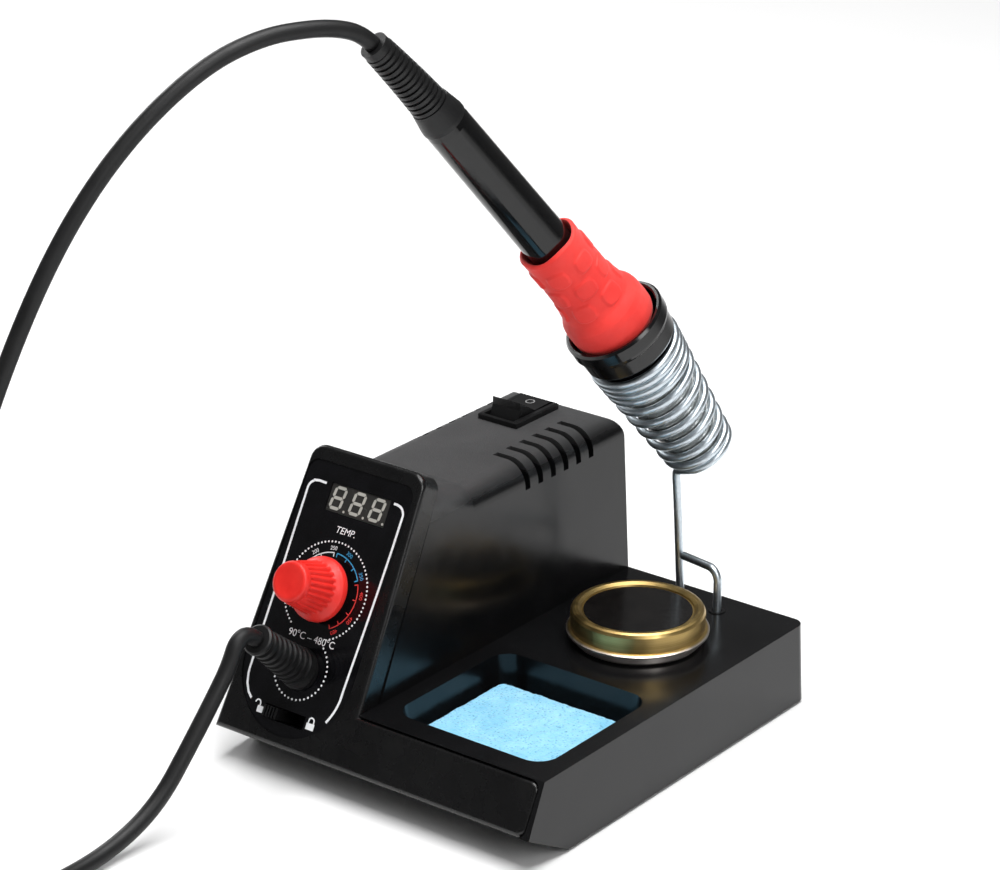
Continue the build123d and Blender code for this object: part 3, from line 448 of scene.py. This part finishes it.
def station_cord():
    route = PANEL_ROUTE + wound_cord(-62.0, -230.0, 3.5, 14) + IRON_ROUTE
    path = curve_points([Vector(p) * MM for p in route], 8)
    verts, faces = tube_mesh(path, CORD_RADIUS * MM, 20)
    cord = piece("station_cord", verts, faces, "rubber", None, True)
    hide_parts("cord_panel_run", "cord_coil", "cord_drop_run", "cord_iron_run")
    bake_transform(cord)
    length = sum((b - a).length for a, b in zip(path, path[1:]))
    print("cord length", round(length, 4))
    return cord


station_cord()


# ---- holder wire ----------------------------------------------------------------------------------
def unit(v):
    return Vector(v).normalized()


class Axis:
    """Points round a slanted axis, in mm and radians."""

    def __init__(self, origin, along, side):
        self.origin = Vector(origin) * MM
        self.along = unit(along)
        self.side = unit(side)
        self.over = self.along.cross(self.side)

    def at(self, along, radius, angle):
        out = self.side * math.cos(angle) + self.over * math.sin(angle)
        return self.origin + (self.along * along + out * radius) * MM


HOLDER = Axis((17.0, 67.4, 72.9), (-0.1942, -0.5287, 0.8263), (0.9387, -0.3447, 0))
IRON = Axis((19.36, 70.73, 75.81), (-0.2342, -0.5856, 0.776), (0.9285, -0.3713, 0))


def coil_rise(turn):
    """Height of the winding after a number of turns: close at both ends, open in the middle."""
    low, open_turns = 1.6, 5.2
    close, wide = 2.75, 5.9
    if turn < low:
        return close * turn
    if turn < low + open_turns:
        return close * low + wide * (turn - low)
    return close * low + wide * open_turns + close * (turn - low - open_turns)


def holder_wire():
    foot = Vector((15.8, 59.9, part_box("holder_leg")[0][2] / MM))
    knee = [(15.2, 59.6, 34), (14.6, 59.2, 50), (14.0, 58.9, 62.0), (13.7, 58.6, 67.4), (14.6, 58.6, 68.2)]
    route = [foot * MM] + [Vector(p) * MM for p in knee]
    per_turn = 18
    turns = 10.8
    total = coil_rise(turns)
    for i in range(2, round(turns * per_turn) + 1):
        turn = i / per_turn
        rise = coil_rise(turn) * 46.4 / total
        radius = 10.2 + 4.1 * rise / 46.4
        route.append(HOLDER.at(1.3 + rise, radius / 0.985, -math.pi / 2 + 2 * math.pi * turn))
    path = curve_points(route, 4)
    verts, faces = tube_mesh(path, 1.3 * MM, 16)
    wire = piece("holder_wire", verts, faces, "wire", "root", True)
    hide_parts("holder_coil", "holder_leg")


holder_wire()


# ---- finger grip ----------------------------------------------------------------------------------
GRIP_OUTLINE = [
    (57.5, 12.3), (58.0, 13.1), (59.4, 13.6), (62.0, 13.75), (66.0, 13.65), (67.8, 13.3), (69.2, 12.5),
    (70.6, 11.5), (72.2, 10.85), (75.0, 10.35), (80.0, 10.0), (86.0, 9.8), (92.0, 9.85), (98.5, 10.1),
]


def outline_radius(outline, along):
    for (a0, r0), (a1, r1) in zip(outline, outline[1:]):
        if along <= a1:
            t = max(0.0, (along - a0) / (a1 - a0))
            return r0 + (r1 - r0) * t
    return outline[-1][1]


def grip_pad(along, angle):
    """Height of the raised finger pads: rounded oblongs in staggered rows."""
    rows = [(74.6, 6.2), (81.8, 6.4), (89.2, 6.2)]
    around = 6
    height = 0.0
    for n, (middle, tall) in enumerate(rows):
        turn = angle / (2 * math.pi) * around + 0.5 * (n % 2) + 0.22
        across = (turn - math.floor(turn) - 0.5) * 2
        up = (along - middle) / (tall / 2)
        edge = 0.55 * max(abs(across) / 0.72, abs(up)) + 0.45 * math.hypot(across / 0.72, up)
        height = max(height, 1.0 - step(edge, 0.84, 1.0))
    return height


def revolved(name, rows, around, paint, body):
    """A closed skin from rings of points with the same count."""
    verts = [point for row in rows for point in row]
    faces = []
    for i in range(len(rows) - 1):
        for j in range(around):
            k = (j + 1) % around
            faces.append((i * around + j, i * around + k, (i + 1) * around + k, (i + 1) * around + j))
    return piece(name, verts, faces, paint, body, True)


def finger_grip():
    rings, around = 150, 160
    start, end = 57.5, 97.4
    angles = [2 * math.pi * j / around for j in range(around)]

    def wave(angle):
        return 0.32 * math.cos(4 * angle + 0.6) + 0.2 * math.cos(2 * angle - 0.5)

    rows = [
        [IRON.at(start + 0.3, 5.6, a) for a in angles],
        [IRON.at(start, 11.0, a) for a in angles],
    ]
    for i in range(rings + 1):
        t = i / rings
        row = []
        for a in angles:
            along = start + (end + wave(a) - start) * t
            radius = outline_radius(GRIP_OUTLINE, along) + 0.6 * grip_pad(along, a) - 0.25
            if t > 0.985:
                radius -= 0.5 * ((t - 0.985) / 0.015) ** 2
            row.append(IRON.at(along, radius, a))
        rows.append(row)
    for depth, radius in ((0.25, 9.0), (0.1, 8.6), (-1.2, 8.3), (-4.0, 7.6)):
        rows.append([IRON.at(end + wave(a) + depth, radius, a) for a in angles])
    grip = revolved("finger_grip", rows, around, "grip", "iron")
    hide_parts("grip_sleeve")


finger_grip()


# ---- sponge ---------------------------------------------------------------------------------------
def wiping_sponge():
    low, high = (Vector(v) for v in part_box("sponge"))
    middle = (low + high) / 2
    half = (high - low) / 2
    cells_x, cells_y, cells_z = 110, 100, 10
    corner = 3.6 * MM
    mesh = bmesh.new()
    grid = {}

    def add(i, j, k):
        key = (i, j, k)
        if key in grid:
            return grid[key]
        x = (i / cells_x * 2 - 1) * half.x
        y = (j / cells_y * 2 - 1) * half.y
        inset = Vector((max(0, abs(x) - (half.x - corner)), max(0, abs(y) - (half.y - corner))))
        if inset.x > 0 and inset.y > 0:
            longest = max(inset.x, inset.y)
            scale = longest / inset.length
            x = math.copysign(half.x - corner + inset.x * scale, x)
            y = math.copysign(half.y - corner + inset.y * scale, y)
        z = k / cells_z
        rim = max(0.0, 1 - min(half.x - abs(x), half.y - abs(y)) / (0.9 * MM))
        lift = (z - 0.5) * 2
        sink = 0.35 * MM * rim * rim * max(0, lift) ** 3
        place = Vector((middle.x + x, middle.y + y, low.z + z * half.z * 2 - sink))
        rough = noise.noise(place * 420) * 0.28 * MM + noise.noise(place * 1300) * 0.16 * MM
        if i in (0, cells_x) or j in (0, cells_y):
            out = Vector((x / half.x, y / half.y, 0)).normalized()
            place -= out * (0.25 * MM + abs(rough) * 1.5)
        if k == cells_z:
            place.z += rough * 0.8 - 0.16 * MM
        grid[key] = mesh.verts.new(place)
        return grid[key]

    for k in (0, cells_z):
        for i in range(cells_x):
            for j in range(cells_y):
                loop = [add(i, j, k), add(i + 1, j, k), add(i + 1, j + 1, k), add(i, j + 1, k)]
                mesh.faces.new(loop if k else loop[::-1])
    for k in range(cells_z):
        for i in range(cells_x):
            for j in (0, cells_y):
                loop = [add(i, j, k), add(i + 1, j, k), add(i + 1, j, k + 1), add(i, j, k + 1)]
                mesh.faces.new(loop[::-1] if j else loop)
        for j in range(cells_y):
            for i in (0, cells_x):
                loop = [add(i, j, k), add(i, j + 1, k), add(i, j + 1, k + 1), add(i, j, k + 1)]
                mesh.faces.new(loop if i else loop[::-1])
    data = bpy.data.meshes.new("wiping_sponge")
    mesh.to_mesh(data)
    mesh.free()
    made = bpy.data.objects.new("wiping_sponge", data)
    bpy.context.scene.collection.objects.link(made)
    finish_piece(made, "sponge", "sponge_pad", True)
    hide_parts("sponge")


wiping_sponge()


# ---- panel artwork --------------------------------------------------------------------------------
LEAN = math.radians(29.0)
UP = Vector((0, math.sin(LEAN), math.cos(LEAN)))
OUT = Vector((0, -math.cos(LEAN), math.sin(LEAN)))
LABEL_FOOT_S = -13.9      # the label's lowest point, in mm along the panel from the deck's level
LABEL_THICK = 0.5 * MM
label_low, label_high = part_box("panel_label")
LABEL_ORIGIN = Vector((0, label_low[1], label_low[2] + LABEL_THICK * math.sin(LEAN))) - UP * LABEL_FOOT_S * MM
PRINT = 0.03              # height of the print, in mm


def on_panel(x, s, off=PRINT):
    return LABEL_ORIGIN + Vector((x * MM, 0, 0)) + (UP * s + OUT * off) * MM


def arc(cx, cs, radius, start, end, count):
    out = []
    for i in range(count + 1):
        a = math.radians(start + (end - start) * i / count)
        out.append((cx + radius * math.cos(a), cs + radius * math.sin(a)))
    return out


# ---- temperature knob -----------------------------------------------------------------------------
KNOB_X, KNOB_S = -34.6, 31.2
LABEL_SINK = 0.4          # the label's face lies this far below the panel's own plane, in mm
KNOB_FOOT, KNOB_TOP = 2.6, 18.6
FLUTES = 24
KNOB = Axis(on_panel(KNOB_X, KNOB_S, LABEL_SINK) / MM, OUT, (1, 0, 0))


def knob_outline(along):
    outline = [
        (2.6, 9.9), (3.6, 9.9), (4.4, 9.7), (5.3, 9.0), (6.2, 8.15), (8.0, 7.85), (15.0, 6.75), (16.2, 6.45),
        (17.4, 6.3), (18.1, 6.1), (18.45, 5.75), (18.6, 5.2),
    ]
    return outline_radius(outline, along)


def control_knob():
    around = 240
    angles = [2 * math.pi * j / around for j in range(around)]
    rows = [[KNOB.at(KNOB_FOOT, radius, a) for a in angles] for radius in (3.2, 9.5)]
    for i in range(101):
        along = KNOB_FOOT + (KNOB_TOP - KNOB_FOOT) * i / 100
        row = []
        for a in angles:
            radius = knob_outline(along)
            flute = step(along, 5.9, 7.0) * (1 - step(along, 15.6, 16.6))
            wave = 0.5 - 0.5 * math.cos(FLUTES * a)
            row.append(KNOB.at(along, radius - 0.62 * flute * wave ** 1.6, a))
        rows.append(row)
    for radius, sink in ((4.6, 0.0), (4.1, -0.1), (2.0, -0.12), (0.01, -0.12)):
        rows.append([KNOB.at(KNOB_TOP + sink, radius, a) for a in angles])
    knob = revolved("control_knob", rows, around, "knob", "knob")
    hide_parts("temperature_knob")


control_knob()


class Artwork:
    """Flat printed shapes gathered into one mesh on the panel."""

    def __init__(self, off=PRINT):
        self.verts = []
        self.faces = []
        self.off = off

    def shape(self, outline):
        first = len(self.verts)
        self.verts += [on_panel(x, s, self.off) for x, s in outline]
        self.faces.append(tuple(range(first, first + len(outline))))

    def stroke(self, points, width):
        left, right = [], []
        for i, (x, s) in enumerate(points):
            ahead = points[min(i + 1, len(points) - 1)]
            behind = points[max(i - 1, 0)]
            dx, ds = ahead[0] - behind[0], ahead[1] - behind[1]
            size = math.hypot(dx, ds)
            nx, ns = -ds / size * width / 2, dx / size * width / 2
            left.append((x + nx, s + ns))
            right.append((x - nx, s - ns))
        first = len(self.verts)
        for a, b in zip(left, right):
            self.verts += [on_panel(*a, self.off), on_panel(*b, self.off)]
        for i in range(len(points) - 1):
            j = first + 2 * i
            self.faces.append((j, j + 1, j + 3, j + 2))

    def dot(self, x, s, radius, sides=12):
        self.shape(arc(x, s, radius, 0, 360 - 360 / sides, sides - 1))

    def dots(self, cx, cs, radius, size, count, skip=()):
        for i in range(count):
            degrees = 360 * i / count
            if any(a <= degrees <= b for a, b in skip):
                continue
            a = math.radians(degrees)
            self.dot(cx + radius * math.cos(a), cs + radius * math.sin(a), size)

    def text(self, words, x, s, size, turn=0.0, lean=0.0):
        data = bpy.data.curves.new("words", "FONT")
        data.body = words
        data.size = size
        data.align_x = "CENTER"
        data.align_y = "CENTER"
        data.shear = lean
        holder = bpy.data.objects.new("words", data)
        bpy.context.scene.collection.objects.link(holder)
        bpy.context.view_layer.update()
        mesh = bpy.data.meshes.new_from_object(holder)
        first = len(self.verts)
        c, n = math.cos(math.radians(turn)), math.sin(math.radians(turn))
        for v in mesh.vertices:
            self.verts.append(on_panel(x + v.co.x * c - v.co.y * n, s + v.co.x * n + v.co.y * c, self.off))
        for face in mesh.polygons:
            self.faces.append(tuple(first + i for i in face.vertices))
        bpy.data.meshes.remove(mesh)
        bpy.data.objects.remove(holder)
        bpy.data.curves.remove(data)

    def make(self, name, paint, body="root"):
        return piece(name, self.verts, self.faces, paint, body)


DIAL = (-34.7, 31.2)


def panel_print():
    white = Artwork()
    left = [(-46.3, 61.8), (-49.0, 61.9), (-51.2, 61.6)] + arc(-50.0, 59.0, 2.6, 115, 178, 6)
    left += [(-52.7, 50.0), (-52.8, 30.0), (-53.0, 14.8), (-53.1, 2.0)]
    white.stroke(left, 0.75)
    white.stroke([(-53.1, 2.0), (-53.0, 0.6), (-52.3, -2.2), (-50.9, -4.6), (-49.2, -6.1)], 0.75)
    right = [(-20.4, 61.9), (-19.2, 61.9)] + arc(-19.0, 58.8, 3.0, 88, 2, 8)
    right += [(-16.1, 50.0), (-16.5, 34.0), (-17.2, 16.0), (-17.7, 4.0)] + arc(-35.6, 4.0, 18.0, -6, -32, 8)
    white.stroke(right, 0.75)
    white.dots(*DIAL, 14.9, 0.32, 74, [(234, 290)])
    white.dots(-35.0, 7.2, 9.6, 0.34, 41, [(56, 186)])
    scale = arc(*DIAL, 11.6, 168, 96, 14)
    white.stroke(scale, 0.32)
    white.text("TEMP.", -34.2, 49.5, 2.9, lean=0.18)
    white.text("90°C – 480°C", -34.4, 16.4, 3.1)
    for degrees in (168, 144, 120, 96):
        a = math.radians(degrees)
        white.stroke([(DIAL[0] + r * math.cos(a), DIAL[1] + r * math.sin(a)) for r in (10.4, 11.7)], 0.32)
    for words, degrees in (("150", 158), ("200", 128), ("250", 98)):
        a = math.radians(degrees)
        white.text(words, DIAL[0] + 12.9 * math.cos(a), DIAL[1] + 12.9 * math.sin(a), 1.7, degrees - 90)
    low_end = 3.75
    white.text("90", DIAL[0] + 12.6 * math.cos(low_end), DIAL[1] + 12.6 * math.sin(low_end), 2.1)
    padlock(white, -44.5, -7.9, True)
    padlock(white, -25.4, -7.8, False)
    white.make("panel_white_print", "ink")

    blue = Artwork()
    blue.stroke(arc(*DIAL, 11.6, 90, 30, 12), 0.34)
    for degrees in (90, 70, 50, 30):
        a = math.radians(degrees)
        blue.stroke([(DIAL[0] + r * math.cos(a), DIAL[1] + r * math.sin(a)) for r in (10.4, 11.7)], 0.32)
    for words, degrees in (("300", 70), ("350", 34)):
        a = math.radians(degrees)
        blue.text(words, DIAL[0] + 13.0 * math.cos(a), DIAL[1] + 13.0 * math.sin(a), 1.7, degrees - 90)
    blue.make("panel_blue_print", "ink_blue")

    red = Artwork()
    red.stroke(arc(*DIAL, 11.6, 24, -62, 16), 0.34)
    for degrees in (24, 0, -24, -45, -62):
        a = math.radians(degrees)
        red.stroke([(DIAL[0] + r * math.cos(a), DIAL[1] + r * math.sin(a)) for r in (10.4, 11.7)], 0.32)
    for words, degrees in (("400", 8), ("450", -28), ("480", -56)):
        a = math.radians(degrees)
        red.text(words, DIAL[0] + 13.0 * math.cos(a), DIAL[1] + 13.0 * math.sin(a), 1.7, degrees - 90)
    red.make("panel_red_print", "ink_red")


def padlock(art, x, s, is_open):
    art.shape([(x - 1.5, s - 1.5), (x + 1.5, s - 1.5), (x + 1.5, s + 0.5), (x - 1.5, s + 0.5)])
    loop_x = x - 1.7 if is_open else x
    loop = [(loop_x + 0.95, s + 0.4), (loop_x + 0.95, s + 1.2)]
    loop += arc(loop_x, s + 1.2, 0.95, 20, 160, 8) + [(loop_x - 0.95, s + 1.2)]
    if not is_open:
        loop.append((loop_x - 0.95, s + 0.4))
    art.stroke(loop, 0.45)


panel_print()


def display_digits():
    art = Artwork(-0.22)
    x0, x1, s0, s1 = -44.1, -21.7, 54.3, 62.7
    for n in range(3):
        cx = x0 + (x1 - x0) * (n + 0.5) / 3 - 0.35
        digit(art, cx, (s0 + s1) / 2, 4.7, 7.3)
        art.dot(cx + 3.35, s0 + 0.75, 0.4)
    art.make("display_segments", "digits")


def digit(art, cx, cs, wide, tall):
    thick = 0.95
    gap = 0.12
    lean = 0.13
    half_w, half_t = (wide - thick) / 2, (tall - thick) / 2

    def bar(x0, s0, x1, s1):
        dx, ds = x1 - x0, s1 - s0
        size = math.hypot(dx, ds)
        dx, ds = dx / size, ds / size
        x0, s0, x1, s1 = x0 + dx * gap, s0 + ds * gap, x1 - dx * gap, s1 - ds * gap
        h = thick / 2
        outline = [
            (x0, s0),
            (x0 + dx * h - ds * h, s0 + ds * h + dx * h),
            (x1 - dx * h - ds * h, s1 - ds * h + dx * h),
            (x1, s1),
            (x1 - dx * h + ds * h, s1 - ds * h - dx * h),
            (x0 + dx * h + ds * h, s0 + ds * h - dx * h),
        ]
        art.shape([(cx + x + s * lean, cs + s) for x, s in outline])

    for s in (-half_t, 0, half_t):
        bar(-half_w, s, half_w, s)
    for x in (-half_w, half_w):
        bar(x, -half_t, x, 0)
        bar(x, 0, x, half_t)


display_digits()


# ---- rocker mark ----------------------------------------------------------------------------------
ROCKER_PIN = Vector((-0.03835, 0.04605, 0.0753))
ROCKER_TILT = 15.0        # the rear end is pressed down by this angle, in degrees
ROCKER_DIP = 5.0          # height of the rocker's hollow middle over the pin, in mm
ROCKER_END = (8.27, 7.4)  # the raised end's distance and height from the pin, in mm


def rocker_mark():
    """The round off mark printed on the rocker's pressed end."""
    tilt = Matrix.Rotation(math.radians(-ROCKER_TILT), 3, "X")
    climb = (ROCKER_END[1] - ROCKER_DIP) / ROCKER_END[0]
    middle_y = 4.6
    verts, faces = [], []
    count = 28
    for i in range(count):
        a = 2 * math.pi * i / count
        for radius in (1.15, 1.55):
            x, y = radius * math.cos(a), middle_y + radius * math.sin(a)
            verts.append(ROCKER_PIN + tilt @ Vector((x, y, ROCKER_DIP + PRINT + y * climb)) * MM)
    for i in range(count):
        k = (i + 1) % count
        faces.append((2 * i, 2 * i + 1, 2 * k + 1, 2 * k))
    piece("rocker_mark", verts, faces, "mark", "rocker")


rocker_mark()


# ---- room -----------------------------------------------------------------------------------------
def floor():
    data = bpy.data.meshes.new("floor")
    data.from_pydata([(-6, -6, 0), (6, -6, 0), (6, 6, 0), (-6, 6, 0)], [], [(0, 1, 2, 3)])
    made = bpy.data.objects.new("floor", data)
    p = Paint("floor_white", 0.6, specular=0.25)
    p.colour(p.span(p.noise(3, 3), 0, 1), (0.86, 0.86, 0.86), (0.88, 0.88, 0.88))
    data.materials.append(p.material)
    bpy.context.scene.collection.objects.link(made)


def lamp(name, place, aim, size, power, tint=(1, 1, 1)):
    data = bpy.data.lights.new(name, "AREA")
    data.shape = "RECTANGLE"
    data.size, data.size_y = size
    data.energy = power
    data.color = tint
    made = bpy.data.objects.new(name, data)
    bpy.context.scene.collection.objects.link(made)
    made.location = place
    made.rotation_euler = (Vector(aim) - Vector(place)).to_track_quat("-Z", "Y").to_euler()


def room():
    floor()
    world = bpy.data.worlds.new("studio")
    world.use_nodes = True
    world.node_tree.nodes["Background"].inputs["Color"].default_value = (1, 1, 1, 1)
    world.node_tree.nodes["Background"].inputs["Strength"].default_value = 0.13
    bpy.context.scene.world = world
    lamp("overhead", (0.15, 0.0, 1.5), (0, 0, 0.05), (1.2, 1.1), 33)
    lamp("right_front", (1.3, -0.6, 1.0), (0, 0, 0.1), (0.6, 0.9), 9)
    lamp("left_side", (-1.3, 0.5, 0.7), (0, 0, 0.12), (0.4, 0.9), 7)
    bpy.context.scene.view_settings.view_transform = "Standard"


room()
